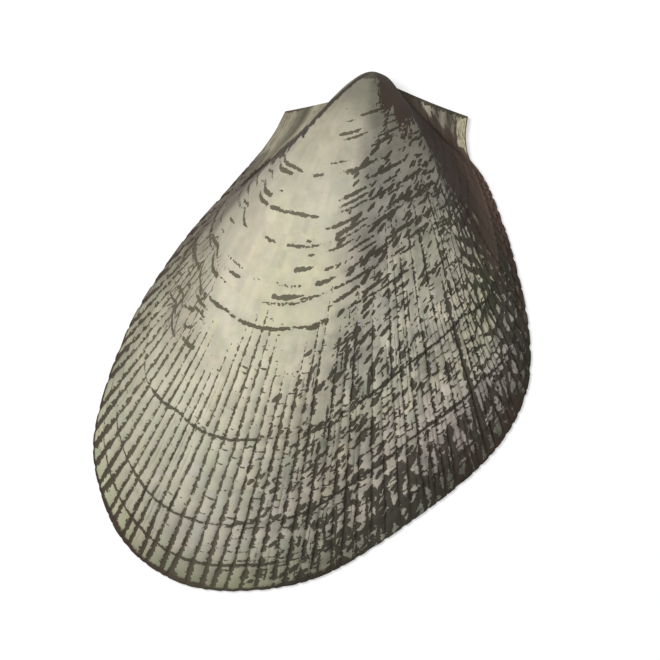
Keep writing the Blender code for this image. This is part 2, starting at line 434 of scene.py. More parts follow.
def outside_relief(grid, blocks):
    """How far ribs, blocks and ledges move the outside, and the marks along the ledges."""
    groove = groove_depth(grid)
    body = 1 - grid.ear
    swell = ramp(grid.ribs_from, grid.ribs_from + 0.18, grid.age) * body
    swell *= 1 - 0.6 * ramp(0.93, 1.0, grid.size)
    swell *= 1 - 0.65 * ramp(33, 38, grid.bearings) * ramp(1.0, 0.85, grid.size)
    height = -RIB_DEPTH * grid.size * swell * groove * (1 - 0.5 * grid.weak)
    height += BLOCK_RISE * blocks.rise * swell * (1 - groove)
    ear_lines = np.sin(90 * grid.size + 2 * patches(grid, 6, 0))
    height += EAR_LINE_RISE * ramp(0.4, 1.0, ear_lines) * grid.ear
    marks = np.zeros(grid.shape)
    for halt, ledge, left, right in HALTS:
        here = halt + 0.003 * by_groove(grid, 2)
        swelling = np.clip(1 - (here - grid.age) / LEDGE_FADE, 0, 1) ** 2
        height += ledge * swelling * ramp(here + 0.004, here - 0.001, grid.age) * body
        broken = np.clip(0.85 + 0.4 * by_groove(grid, 1), 0, 1)
        line = bump_at(here + 0.002, LEDGE_LINE, grid.age) * broken
        line *= 1 + 0.35 * ramp(-24, -32, grid.bearings)
        marks = most(marks, line * (left + (right - left) * grid.crest) * body)
    return height, marks


# ---- the outside's markings


def srgb(*levels):
    """Linear colour of 0 to 255 levels."""
    level = np.array(levels, float) / 255
    return np.where(level <= 0.04045, level / 12.92, ((level + 0.055) / 1.055) ** 2.4)


CREAM = srgb(209, 203, 178)
# Painted shade: the ground right of the crest, on the side away from the lamp.
GREY = srgb(162, 158, 144)
LOW_GREY = srgb(185, 181, 168)
# Painted shade: the steep right side, the lower and right rim, and the dome's shadow on the right
# ear.
BROWN = srgb(70, 58, 48)
GREEN = srgb(78, 80, 62)
UMBO = srgb(124, 121, 104)
# Painted shade: the left rim, the left shoulder, the net and the umbo's right side.
SHADE_VIOLET = srgb(122, 112, 102)
LEFT_EAR = srgb(150, 144, 122)
RIGHT_EAR = srgb(158, 150, 132)
EAR_STRIP = srgb(196, 188, 156)
LEFT_LINES = srgb(90, 84, 67)
RIGHT_LINES = srgb(62, 57, 45)
DARK_LINES = srgb(64, 50, 42)
GREEN_LINES = srgb(50, 52, 38)


def blend(first, second, weight):
    weight = np.clip(weight, 0, 1)[..., None]
    return first * (1 - weight) + second * weight


def flank_zones(grid, zones, ragged):
    """The dark right side, painted shade, toward which the scales shrink away one by one."""
    size, bearings = grid.size, grid.bearings
    torn = rough(grid.rng, grid.shape, 0, 2)
    torn_size = size + 0.012 * torn
    cap = ramp(0.24, 0.23, torn_size) * ramp(10, 18, bearings) + ramp(0.18, 0.175, torn_size)
    start = 30.0 + 1.5 * ramp(0.65, 0.85, size) - 2.5 * ramp(0.88, 1.0, size)
    start -= 31.0 * np.clip(cap, 0, 1)
    ragged = ragged + 2 * torn * cap
    sides = ramp(70, 60, bearings) * ramp(0.02, 0.05, size)
    reach = 3 + 5 * ramp(0.3, 0.45, size)
    zones.flank = ramp(start, start + 3, ragged) * sides
    zones.shrinking = ramp(start, start + reach, ragged) * sides


def left_zones(grid, zones, ragged):
    """The left shoulder, the net below it, the left edge and the fold beside the ear: painted shade
    on the steep left side and in the fold.
    """
    size, age, bearings = grid.size, grid.age, grid.bearings
    top = table(SHOULDER_TOP, size)
    # painted shade on the steep left shoulder
    zones.shoulder = ramp(-43, -49, ragged) * ramp(top - 1, top, ragged)
    zones.shoulder *= ramp(0.46, 0.53, size)
    zones.net = ramp(-33, -38, ragged)
    zones.net *= ramp(0.44, 0.5, age) * ramp(0.66, 0.6, age)
    # painted shade along the steep left side
    zones.upper_left = ramp(-30, -46, bearings) * ramp(1.0, 0.85, size)
    zones.left_edge = ramp(-37, -43, bearings) * ramp(0.78, 0.86, size)
    fold = table(LEFT_FOLD, size) + 0.55 * rough(grid.rng, (grid.shape[0], 1), 1, 0)
    zones.left_fold = bump_at(fold, table(LEFT_FOLD_HALF, size), bearings)
    zones.left_fold *= ramp(0.88, 0.72, size) * ramp(0.05, 0.08, size)


def rim_zones(grid, zones, ragged):
    """The margins along the rim, darkened as painted shade, and the bands above them."""
    size, bearings = grid.size, grid.bearings
    near_rim = size + 0.004 * zones.medium
    zones.scaly = ramp(16, 30, ragged) * ramp(0.4, 0.55, grid.age)
    zones.margin_left = ramp(0.84, 1.0, near_rim) * ramp(-14, -30, bearings)
    zones.margin_low = ramp(0.9, 1.0, near_rim) * ramp(-36, -20, bearings)
    zones.margin_right = ramp(0.92, 0.98, size + 0.02 * zones.broad)
    zones.margin_right *= ramp(0, 14, bearings)
    zones.outer_band = ramp(0.855, 0.87, size) * ramp(2, 14, bearings)
    zones.low_band = ramp(0.86, 0.875, size) * ramp(-14, 4, bearings)
    zones.rim = ramp(0.989, 0.995, near_rim)


def ear_zones(grid, zones):
    """The right ear, and its root beside the dome, darkened as the dome's painted shadow."""
    turn = (grid.bearings - FOOT_RIGHT) / (END_RIGHT - FOOT_RIGHT)
    past_shadow = turn - table(EAR_SHADOW, grid.size) + 0.05 * zones.medium
    zones.right_ear = grid.ear * (grid.bearings > 0)
    zones.ear_root = ramp(0.06, -0.06, past_shadow) * zones.right_ear


def regions(grid):
    """How far each point is in the zones that the shell's colours follow."""
    zones = SimpleNamespace(medium=patches(grid, 8, 2), broad=patches(grid, 24, 7))
    ragged = grid.bearings + 1.2 * zones.medium
    flank_zones(grid, zones, ragged)
    left_zones(grid, zones, ragged)
    rim_zones(grid, zones, ragged)
    ear_zones(grid, zones)
    # painted shade on the umbo's right side
    zones.umbo_right = ramp(-2, 20, grid.bearings) * ramp(0.45, 0.2, grid.size)
    zones.umbo = ramp(0.48, 0.1, grid.size)
    return zones


def outside_shade(grid, zones, blocks):
    """How much darker or paler than its zone each point of the dome is, by channel: painted light
    and shade, and random tone.
    """
    size, bearings, crest = grid.size, grid.bearings, grid.crest
    # Painted light: the right slope is paler under its marks the farther it turns from the crest.
    # and painted shade darkens the umbo's right side
    shade = table(PALER, bearings) * (1 - 0.36 * ramp(0.55, 0.4, size) * crest)
    # painted light: paler low on the far right
    shade *= 1 + 0.4 * ramp(28, 33, bearings) * ramp(0.65, 0.8, size)
    # painted shade along the steep left side
    shade *= 1 - 0.28 * most(zones.upper_left, zones.left_edge)
    shade *= 1 + 0.03 * zones.medium + 0.05 * zones.broad
    vivid = 0.03 + 0.06 * crest * ramp(0.35, 0.5, grid.age)
    shade = (shade * (1 + vivid * blocks.tint[..., 0]))[..., None]
    shade = shade * (1 + 0.02 * blocks.tint * (0.6, 0.5, 0.9))
    for drift, hue in (((10, 4), (0.012, -0.012, 0.0)), ((14, 5), (0.008, 0.01, -0.045))):
        shade = shade * (1 + patches(grid, *drift)[..., None] * hue)
    return shade


def ear_wash(grid, zones):
    panel = np.where(grid.bearings[..., None] < 0, LEFT_EAR, RIGHT_EAR)
    panel *= 1 + 0.18 * zones.medium[..., None]
    return blend(panel, EAR_STRIP, ramp(0.895, 0.91, grid.size) * (grid.bearings > 0))


def outside_wash(grid, zones, blocks):
    """The ground colour between the dark lines, with painted light and shade in it."""
    size, crest, broad = grid.size, grid.crest, zones.broad
    # greyer right of the crest: painted shade
    wash = blend(np.broadcast_to(CREAM, (*grid.shape, 3)), GREY, crest)
    wash = blend(wash, LOW_GREY, ramp(0.5, 0.95, grid.age) * (1 - crest) * 0.8)
    wash *= outside_shade(grid, zones, blocks)
    umbo = zones.umbo * (0.45 + 0.2 * crest + 0.45 * ramp(0.24, 0.12, size))
    for tone, share in (
        # painted shade along the steep left rim
        (SHADE_VIOLET, 0.22 * zones.margin_left),
        # painted shade along the bottom rim, green or brown by patches
        (GREEN, 0.45 * zones.margin_low * ramp(-0.6, 0.2, broad)),
        (BROWN, 0.35 * zones.margin_low * ramp(0.2, -0.6, broad)),
        # painted shade along the right rim, and a darker band just inside it
        (BROWN, 0.3 * zones.margin_right + 0.3 * zones.outer_band),
        # painted shade on the steep right side
        (BROWN, 0.55 * zones.flank),
        # painted shade on the umbo's right side and over the net
        (SHADE_VIOLET, 0.5 * zones.umbo_right + 0.25 * zones.net),
        (UMBO, umbo),
        (DARK_LINES, 0.75 * zones.rim),
        (ear_wash(grid, zones), grid.ear),
        # painted shade on the left shoulder
        (SHADE_VIOLET * table(SHOULDER_TONE, size)[..., None], 0.85 * zones.shoulder),
        # painted shadow of the dome on the right ear
        (BROWN, 0.9 * zones.ear_root),
    ):
        wash = blend(wash, tone, share)
    return np.clip(wash, 0.01, 0.85)


def line_colour(grid, zones):
    """The colour of the dark lines, darker in the painted shade."""
    # darker right of the crest: painted shade
    line = blend(np.broadcast_to(LEFT_LINES, (*grid.shape, 3)), RIGHT_LINES, grid.crest)
    # darkest in the painted shade
    dark = most(zones.flank, zones.margin_right, zones.margin_left, zones.shoulder)
    dark = most(dark, zones.left_fold, 0.7 * zones.left_edge)
    line = blend(line, DARK_LINES * (1 + 0.1 * zones.medium[..., None]), dark)
    line *= (1 + 0.7 * zones.flank * ramp(0.6, 0.8, grid.size))[..., None]
    # darkest in the left fold: painted shade
    line = blend(line, DARK_LINES * 0.55, zones.left_fold)
    greenish = ramp(0.2, 1.0, zones.broad) * most(zones.scaly, zones.margin_right)
    green_spot = bump_at(0.88, 0.12, grid.size) * bump_at(35, 7, grid.bearings)
    return blend(line, GREEN_LINES, most(greenish * (1 - zones.flank), green_spot))


def drawn_ink(grid, zones, blocks, ledge_marks):
    """How dark each mark is that is drawn on a growth line, a fold or an edge."""
    size, bearings = grid.size, grid.bearings
    # painted shade in the fold where the dome meets the right ear
    right_fold = bump_at(FOOT_RIGHT - 0.5, 3.0, bearings) * ramp(0.05, 0.08, size)
    beak_edge = 0.7 * ramp(0.092, 0.08, size) * ramp(-34, -26, bearings)
    left_hinge = bump_at(END_LEFT, 2.6, bearings) * ramp(0.62, 0.7, size)
    right_hinge = bump_at(END_RIGHT, 8.5 - 5.0 * ramp(0.5, 1.0, size), bearings)
    ear_line = bump_at(0.882, 0.03, size) * zones.right_ear * ramp(71, 60, bearings)
    ear_edge = bump_at(1.0, 0.02, size) * grid.ear
    folds = 1.4 * most(zones.left_fold, right_fold, beak_edge)
    edges = most(left_hinge, right_hinge, ear_line, ear_edge, 0.7 * zones.rim)
    return np.clip(most(blocks.edge * (1 - grid.ear), ledge_marks, folds, edges), 0, 1)


def groove_lines(grid, zones):
    """Half the width of the grooves' lines, in ribs; below 0 there is none."""
    size = grid.size
    line = table(GROOVE_LINE, grid.bearings)
    line = line + 0.05 * most(zones.margin_left, zones.margin_right) - 0.14 * zones.scaly
    line = line * (0.82 + 0.25 * ramp(0.6, 0.95, grid.age)) + 0.07 * zones.margin_low
    line = line + 0.24 * grid.strong * ramp(0.5, 0.56, size) - 0.12 * grid.weak
    line += 0.05 * (1 - grid.weak) * grid.by_turns
    started = ramp(grid.ribs_from - 0.05, grid.ribs_from + 0.08, grid.age) * (1 - grid.ear)
    return line * started - 0.3 * (1 - started)


def outside_marks(grid, zones, blocks, ledge_marks):
    """Ink where a mark is drawn, the width of lines, and the density of loose marks."""
    size, age, bearings, crest = grid.size, grid.age, grid.bearings, grid.crest
    body = 1 - grid.ear
    streaks = ramp(-26, -6, bearings) * ramp(0.1, 0.16, size) * ramp(0.62, 0.45, age)
    arcs = ramp(-30, -37, bearings) * ramp(0.26, 0.29, age)
    streaks = streaks + 0.8 * arcs * ramp(0.5, 0.4, age) + 0.6 * zones.net
    ribbed = ramp(grid.ribs_from, grid.ribs_from + 0.12, age)
    flecks = crest * ramp(0.12, 0.3, size) * (1 - 0.8 * zones.scaly)
    flecks *= 1 - 0.65 * ribbed * ramp(0, 14, bearings)
    flecks = most(flecks, 0.1 * zones.net) * body
    cover = 0.52 * ramp(18, 25, bearings) + 0.26 * ramp(26, 33, bearings)
    cover = most(cover * zones.scaly, 0.6 * zones.margin_right)
    # the dark ground around the scales closes in toward the painted shade on the right
    cover = most(cover, 0.42 * zones.low_band, 1.5 * zones.shrinking, 0.13 * zones.net)
    return {
        "ink": drawn_ink(grid, zones, blocks, ledge_marks),
        "line": groove_lines(grid, zones),
        "ragged": crest * body,
        "streaks": np.clip(streaks, 0, 1) * body,
        "flecks": flecks + 0.8 * zones.right_ear + 0.3 * grid.ear * (bearings < 0),
        "cover": cover * body,
    }


def sheet_faces(rows, starts):
    """Faces from each row to the next, which may have fewer points."""
    faces = []
    for first, row, second, smaller in zip(starts, rows, starts[1:], rows[1:]):
        stride = (len(row) - 1) // (len(smaller) - 1)
        for place in range(len(smaller) - 1):
            base = range(first + place * stride, first + (place + 1) * stride + 1)
            faces.append((*base, second + place + 1, second + place))
    return faces


def foot_rings(chain, floor, foot):
    """The edge's points, taken down to the floor through the foot's rows."""
    flat = chain[:, :2]
    way_in = inward(blurred(flat, 2))
    from_start = np.arange(len(chain))
    held = np.clip(np.minimum(from_start, from_start[::-1]) / FOOT_HELD, 0, 1)[:, None]
    unribbed = (blurred(flat, 5) - flat) * held
    rings = []
    for height, inset, faded in foot:
        here = flat + inset * way_in * held + faded * unribbed
        rings.append(np.column_stack([here, floor + height * (chain[:, 2] - floor)]))
    return rings


def in_scene(name, data):
    """A new object with this data, linked to the scene."""
    made = bpy.data.objects.new(name, data)
    bpy.context.scene.collection.objects.link(made)
    return made


def add_fields(data, fields, source):
    """Makes each field a mesh attribute, where source is each mesh point's place in the rows."""
    for field, values in fields.items():
        flat = np.concatenate(values)[source].astype(np.float32)
        kind, key = ("FLOAT", "value") if flat.ndim == 1 else ("FLOAT_COLOR", "color")
        if flat.ndim == 2:
            flat = np.hstack([flat, np.ones((len(flat), 1), np.float32)])
        data.attributes.new(field, kind, "POINT").data.foreach_set(key, flat.ravel())


def closed_body(name, rows, floor, apex, fields, foot=((0.0, 0.0, 0.0),)):
    """A solid under rows of points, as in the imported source.

    Under its edge it goes down to the floor through the foot's rows. Its flat underside has
    the second material. Each field holds a value for every point of the rows.
    """
    starts = np.concatenate([[0], np.cumsum([len(row) for row in rows])])
    faces = sheet_faces(rows, starts)
    left = list(starts[:-1])
    right = [start + len(row) - 1 for start, row in zip(starts, rows)]
    edge = left[::-1] + list(range(1, len(rows[0]))) + right[1:]
    points = np.vstack(rows)
    chain = points[edge]
    upper, first_ends, last_ends = edge, [], []
    for ring in foot_rings(chain, floor, foot):
        lower = list(range(len(points), len(points) + len(ring)))
        points = np.vstack([points, ring])
        faces += zip(upper, lower, lower[1:], upper[1:])
        first_ends.append(lower[0])
        last_ends.append(lower[-1])
        upper = lower
    tip, middle = len(points), len(points) + 1
    points = np.vstack([points, [(*apex, floor), (*chain[:, :2].mean(axis=0), floor)]])
    source = [*range(starts[-1]), *(edge * len(foot)), edge[0], edge[len(edge) // 2]]
    last = [*first_ends[::-1], *range(starts[-2], starts[-1]), *last_ends]
    faces += [(here, after, tip) for here, after in zip(last, last[1:])]
    around = [*upper, tip, upper[0]]
    faces += [(after, here, middle) for here, after in zip(around, around[1:])]
    data = bpy.data.meshes.new(name)
    data.from_pydata(points.tolist(), [], [tuple(map(int, face)) for face in faces])
    add_fields(data, fields, source)
    mesh = bmesh.new()
    mesh.from_mesh(data)
    bmesh.ops.recalc_face_normals(mesh, faces=mesh.faces)
    mesh.faces.ensure_lookup_table()
    for face in mesh.faces[1 - len(around) :]:
        face.material_index = 1
    mesh.to_mesh(data)
    mesh.free()
    return in_scene(name, data)


def thinned(grid, values):
    """The rows of some values, with fewer columns toward the beak, where they crowd."""
    strides = np.select([grid.sizes > 0.6, grid.sizes > 0.3], [1, 2], WIDEST_STRIDE)
    return [row[::stride] for row, stride in zip(values, strides)]


def ribs_past_the_dome(grid):
    """The count of ribs, going on over the ears, so that marks vary across them too."""
    step = np.arange(1, EAR_COLUMNS + 1)
    beyond = np.zeros(grid.shape[1])
    beyond[:EAR_COLUMNS] = -0.5 * step[::-1]
    beyond[-EAR_COLUMNS:] = 1.2 * step
    return grid.ribs + beyond + 0 * grid.size


def outside_body():
    grid = growth_grid(np.random.default_rng(SEED))
    blocks = scales(grid)
    height, ledge_marks = outside_relief(grid, blocks)
    zones = regions(grid)
    fields = {
        # the ground colour, with painted light and shade in it
        "wash": outside_wash(grid, zones, blocks),
        "line_tone": line_colour(grid, zones),
        "growth": grid.age * (1 - 0.6 * zones.right_ear),  # marks are larger on that ear
        "rib": ribs_past_the_dome(grid),
        **outside_marks(grid, zones, blocks, ledge_marks),
    }
    points = smooth_outside(grid)
    normals = unit(blurred(blurred(outward(points), 2, 0), 3, 1))
    points += normals * height[..., None]
    fields = {name: thinned(grid, values) for name, values in fields.items()}
    return closed_body("valve_shell", thinned(grid, points), 0.0, BEAK_END, fields, FOOT)


# ---- the inside


def cavity_rows():
    """The hollow, from a notched edge near the flat rim up to its apex."""
    outline = smooth_line(BODY_RIM)
    ribs = np.linspace(0, RIBS, CAVITY_STEPS * RIBS + 1)
    bearings = FOOT_LEFT + (FOOT_RIGHT - FOOT_LEFT) * ribs / RIBS
    edge = np.stack(rim_points(outline, bearings), -1)
    way_in = blurred(inward(edge), 3)
    notches = np.cos(2 * np.pi * ribs) * ramp(0, 4, ribs) * ramp(0, 4, RIBS - ribs)
    rows = []
    for rise, inset in CAVITY_EDGE:
        here = edge + way_in * (inset + NOTCH_DEPTH * notches)[:, None]
        rows.append(np.column_stack([here, 0 * ribs + rise]))
    start = edge + way_in * RIM_WIDTH - CAVITY_POLE
    sizes = np.concatenate([np.linspace(0.99, 0.12, 44), [0.09, 0.06, 0.03]])[:, None]
    roof = grown(start[:, 0], start[:, 1], sizes, CAVITY_COILING)
    normals = blurred(outward(roof), 3, 1)
    fading = ramp(0.8, 1.0, sizes) + 0.15 * ramp(0.3, 0.7, sizes)
    roof = roof - normals * (NOTCH_DEPTH * notches * fading)[..., None] + (*CAVITY_POLE, CAVITY_LIP)
    rows += list(roof)
    growth = np.concatenate([np.ones(len(CAVITY_EDGE)), sizes[:, 0]])
    return rows, growth, ribs


def cavity_cutter():
    rows, growth, ribs = cavity_rows()
    stride = [1 if size > 0.75 else CAVITY_STEPS for size in growth]
    fields = {
        "rib": [ribs[::step] for step in stride],
        "growth": [size + 0 * ribs[::step] for step, size in zip(stride, growth)],
    }
    rows = [row[::step] for row, step in zip(rows, stride)]
    return closed_body("cutter_cavity", rows, -CUT_PAST, CAVITY_POLE, fields)


def turned(degrees, axis):
    return Matrix.Rotation(np.radians(degrees), 4, axis)


def moved_object(name, mesh, *moves):
    """An object of this mesh, after each of these moves in turn."""
    data = bpy.data.meshes.new(name)
    mesh.to_mesh(data)
    mesh.free()
    for move in moves:
        data.transform(move)
    return in_scene(name, data)


def cardinal_cutter():
    """A wedge that leaves a flat, sloping area between the hinge line and the beak."""
    mesh = bmesh.new()
    bmesh.ops.create_cube(mesh, size=CARDINAL_REACH)
    half = CARDINAL_REACH / 2
    below = Matrix.Translation((0, half - CUT_PAST, -half))
    to_line = Matrix.Translation((0, CARDINAL_LINE, 0))
    moves = below, turned(CARDINAL_SLOPE, "X"), to_line
    return moved_object("cutter_cardinal_area", mesh, *moves)


def ligament_pit_cutter():
    """A cone lying in the rim plane, its point under the beak."""
    mesh = bmesh.new()
    cone = {"segments": 48, "radius1": 0.5, "radius2": 0.08, "depth": PIT_LENGTH}
    bmesh.ops.create_cone(mesh, cap_ends=True, **cone)
    from_pole = Matrix.Translation((0, -PIT_LENGTH / 2, 0))
    to_size = Matrix.Diagonal((PIT_WIDTH, 1, 2 * PIT_DEPTH, 1))
    moves = turned(-90, "X"), from_pole, to_size, turned(PIT_TURN, "Z")
    return moved_object("cutter_ligament_pit", mesh, *moves)


def read(items, name, width=1):
    """One property of a mesh's points, faces or corners, or of a field's values."""
    values = np.zeros((len(items), width), np.float32)
    items.foreach_get(name, values.ravel())
    return values


def mend_cut_points(data):
    """Gives each point that a cut made the fields of the nearest older point of its material."""
    count = len(data.vertices)
    corners = read(data.loops, "vertex_index").astype(int)[:, 0]
    sides = read(data.polygons, "loop_total").astype(int)[:, 0]
    material = read(data.polygons, "material_index").astype(int)[:, 0]
    lowest = np.full(count, len(SHELL_MATERIALS))
    np.minimum.at(lowest, corners, np.repeat(material, sides))
    places = read(data.vertices, "co", 3)
    older = read(data.attributes["older"].data, "value")[:, 0] > 0.5
    source = np.arange(count)
    for number in (0, 1):
        near = np.flatnonzero(older & (lowest == number))
        tree = KDTree(len(near))
        for point in near:
            tree.insert(places[point], point)
        tree.balance()
        for point in np.flatnonzero(~older & (lowest == number)):
            source[point] = tree.find(places[point])[1]
    for field in data.attributes:
        if field.domain == "POINT" and field.data_type in ("FLOAT", "FLOAT_COLOR"):
            key, width = ("value", 1) if field.data_type == "FLOAT" else ("color", 4)
            field.data.foreach_set(key, read(field.data, key, width)[source].ravel())
    data.attributes.remove(data.attributes["older"])


def hollowed(body, cutters, materials):
    """Cuts the body with each cutter, whose faces bring the material after the last one's."""
    for made in (body, *cutters):
        older = made.data.attributes.new("older", "FLOAT", "POINT").data
        older.foreach_set("value", [1.0] * len(older))
        for material in materials:
            made.data.materials.append(material)
    for place, cutter in enumerate(cutters, 1):
        cutter.data.polygons.foreach_set("material_index", [place] * len(cutter.data.polygons))
        modifier = body.modifiers.new(cutter.name, "BOOLEAN")
        modifier.operation = "DIFFERENCE"
        modifier.object = cutter
        modifier.solver = "MANIFOLD"
    graph = bpy.context.evaluated_depsgraph_get()
    data = bpy.data.meshes.new_from_object(body.evaluated_get(graph))
    body.modifiers.clear()
    body.data = data
    mend_cut_points(data)
    for cutter in cutters:
        bpy.data.objects.remove(cutter, do_unlink=True)


def settle(body):
    """Moves the body about the middle of its packed box, in metres, and inside that box."""
    low, high = np.min(body.bound_box, axis=0), np.max(body.bound_box, axis=0)
    room = np.array(box_high - box_low) / MM
    scale = np.minimum(1, room / (high - low)) * MM
    centre = (box_low + box_high) / 2
    middle = Matrix.Translation((-(low[0] + high[0]) / 2, -(low[1] + high[1]) / 2, 0))
    place = Matrix.Translation((centre.x, centre.y, 0))
    body.data.transform(place @ Matrix.Diagonal((*scale, 1)) @ middle)


def smooth_but_for_borders(body):
    """Shades the body smooth, but crisp at corners and wherever two materials meet."""
    body.data.shade_smooth()
    mesh = bmesh.new()
    mesh.from_mesh(body.data)
    for edge in mesh.edges:
        one_material = len({face.material_index for face in edge.link_faces}) == 1
        edge.smooth = one_material and edge.calc_face_angle(0) < CORNER
    mesh.to_mesh(body.data)
    mesh.free()


# ---- node trees


class Number:
    """A node's output. Arithmetic with it adds Math nodes to its tree."""

    def __init__(self, socket):
        self.socket = socket
        self.tree = socket.id_data

    def beside(self, output):
        """Another output of the same node."""
        return Number(self.socket.node.outputs[output])

    def __add__(self, other):
        return math_node("ADD", self, other)

    def __sub__(self, other):
        return math_node("SUBTRACT", self, other)

    def __mul__(self, other):
        return math_node("MULTIPLY", self, other)


def feed(socket, value):
    """Links a number to a socket, or sets a plain value on it."""
    if isinstance(value, Number):
        value.tree.links.new(value.socket, socket)
    else:
        socket.default_value = value


def feed_all(node, **values):
    """Feeds the inputs of these names, where _ stands for a space."""
    for name, value in values.items():
        feed(node.inputs[name.replace("_", " ")], value)


def node(tree, kind, output, settings=None, **inputs):
    """What a new node of this kind gives under this name."""
    made = tree.nodes.new("ShaderNode" + kind)
    for name, value in (settings or {}).items():
        setattr(made, name, value)
    feed_all(made, **inputs)
    return Number(made.outputs[output])


def math_node(operation, number, *others):
    made = number.tree.nodes.new("ShaderNodeMath")
    made.operation = operation
    for socket, value in zip(made.inputs, (number, *others)):
        feed(socket, value)
    return Number(made.outputs[0])


def attribute(tree, name, output="Fac"):
    return node(tree, "Attribute", output, {"attribute_name": name})


def joined(x, y):
    return node(x.tree, "CombineXYZ", 0, X=x, Y=y)


def noise(vector, scale, detail=2.0, roughness=0.5):
    inputs = {"Scale": scale, "Detail": detail, "Roughness": roughness}
    return node(vector.tree, "TexNoise", "Fac", Vector=vector, **inputs)


def cells(x, y, feature):
    """The distance that flat Voronoi cells give."""
    settings = {"voronoi_dimensions": "2D", "feature": feature}
    return node(x.tree, "TexVoronoi", "Distance", settings, Vector=joined(x, y), Scale=1.0)


def soft_step(value, low, high):
    smooth = {"interpolation_type": "SMOOTHSTEP"}
    return node(value.tree, "MapRange", "Result", smooth, Value=value, From_Min=low, From_Max=high)


def mixed(tree, share, first, second, blend="MIX"):
    made = tree.nodes.new("ShaderNodeMix")
    made.data_type = "RGBA"
    made.blend_type = blend
    colours = [socket for socket in made.inputs if socket.type == "RGBA"]
    for socket, value in zip((made.inputs["Factor"], *colours), (share, first, second)):
        feed(socket, value)
    return Number(next(socket for socket in made.outputs if socket.type == "RGBA"))


def crisp(value):
    """1 above 0 and 0 below it, with a narrow soft edge."""
    return soft_step(value, -0.02, 0.02)


def swing(value, amount):
    """A noise value turned to plus or minus about a quarter of the amount."""
    return (value - 0.5) * amount


# ---- materials

BUMP_HEIGHT = 0.0001
PATCH_SHADE = (0.7, 0.71, 0.72, 1)  # of the wash's darker patches
INK_STRENGTH = 0.92
# Loose marks: cells across and along the ribs, slant, the field that sets their density and
# its share, and the largest mark's radius in cells.
STROKES = (
    (0.22, 70.0, 0.12, "streaks", 1.0, 0.34),
    (0.7, 58.0, 0.9, "flecks", 0.5, 0.42),
    (1.1, 76.0, 0.6, "flecks", 0.4, 0.46),
)


def lane_noise(lane, growth, scale):
    """Noise along the ribs, where each lane across them has its own."""
    return noise(joined(lane, growth * scale), 1.0, 1.0)


def groove_ink(rib, growth, ragged, teeth):
    """The grooves' dark lines: even on the left, swelling and breaking on the right."""
    groove = math_node("ROUND", rib)
    across = math_node("ABSOLUTE", rib - groove)
    lane = groove * 7.31
    long_swell = lane_noise(lane, growth, 9.0)
    short_swell = lane_noise(lane + 3.3, growth, 46.0)
    barbs = lane_noise(lane + 6.1, growth, 120.0)
    swell = (swing(long_swell, 0.5) + swing(short_swell, 0.95)) * (ragged * 0.8 + 0.2)
    swell = swell + swing(barbs, ragged * 0.55 + 0.25)
    return crisp(attribute(rib.tree, "line") + swell - (across + teeth))


def fine_groove_ink(rib, growth, ragged, teeth):
    """Finer lines along the middle of some ribs on the right."""
    middle = math_node("ABSOLUTE", math_node("FRACT", rib) - 0.5)
    swell = lane_noise(math_node("FLOOR", rib) * 5.77, growth, 17.0)
    width = (swell - 0.6) * 1.5 * ragged
    ribbed = soft_step(attribute(rib.tree, "line"), -0.05, 0.02)
    return crisp(width - (middle + teeth)) * (ribbed * soft_step(ragged, 0.3, 0.6))


def scale_ground(rib, growth, fray):
    """The dark ground around pale scales, which are fewer and smaller where the cover is full."""
    gap = cells(rib * 1.15, growth * 19.0, "DISTANCE_TO_EDGE")
    cover = attribute(rib.tree, "cover")
    loose = swing(noise(joined(rib * 0.4, growth * 12.0), 1.0), 0.5)
    loose = loose * math_node("MINIMUM", cover * 3.0, 1.0)
    return crisp(cover * 0.42 + loose - (gap + fray * 0.3)) * soft_step(cover, 0.02, 0.06)


def strokes(x, y, slant, density, fray, largest):
    """Loose marks, one to a cell, of many sizes; density 0 leaves none."""
    distance = cells(x, y + x * slant, "F1")
    chance = node(x.tree, "SeparateColor", "Red", Color=distance.beside("Color"))
    size = chance.beside("Green")
    radius = (size * 0.7 + 0.3) * largest + (fray * 0.5 + 0.1)
    return soft_step(radius * crisp(density - chance) - distance, 0.08, 0.13)


def all_ink(tree, place):
    """Every dark mark of the outside, from 0 to nearly 1."""
    rib, growth, ragged = (attribute(tree, name) for name in ("rib", "growth", "ragged"))
    fray = swing(noise(place, 1700.0), 1.0)
    drawn = attribute(tree, "ink")
    drawn = drawn + fray * math_node("MINIMUM", drawn * 3.5, 1.3)
    marks = [
        groove_ink(rib, growth, ragged, fray * 0.45),
        fine_groove_ink(rib, growth, ragged, fray * 0.45),
        soft_step(drawn, 0.42, 0.52),
        scale_ground(rib, growth, fray),
    ]
    around = (rib - 45.0) * growth * 1.2
    for across, along, slant, field, share, largest in STROKES:
        density = attribute(tree, field) * share
        marks.append(strokes(around * across, growth * along, slant, density, fray, largest))
    ink = marks[0]
    for mark in marks[1:]:
        ink = math_node("MAXIMUM", ink, mark)
    return ink * INK_STRENGTH


def new_material(name):
    """A material, its node tree and its shader."""
    material = bpy.data.materials.new(name)
    material.use_nodes = True
    return material, material.node_tree, material.node_tree.nodes["Principled BSDF"]


def add_bump(shader, height, strength):
    inputs = {"Height": height, "Strength": strength, "Distance": BUMP_HEIGHT}
    feed_all(shader, Normal=node(height.tree, "Bump", "Normal", **inputs))


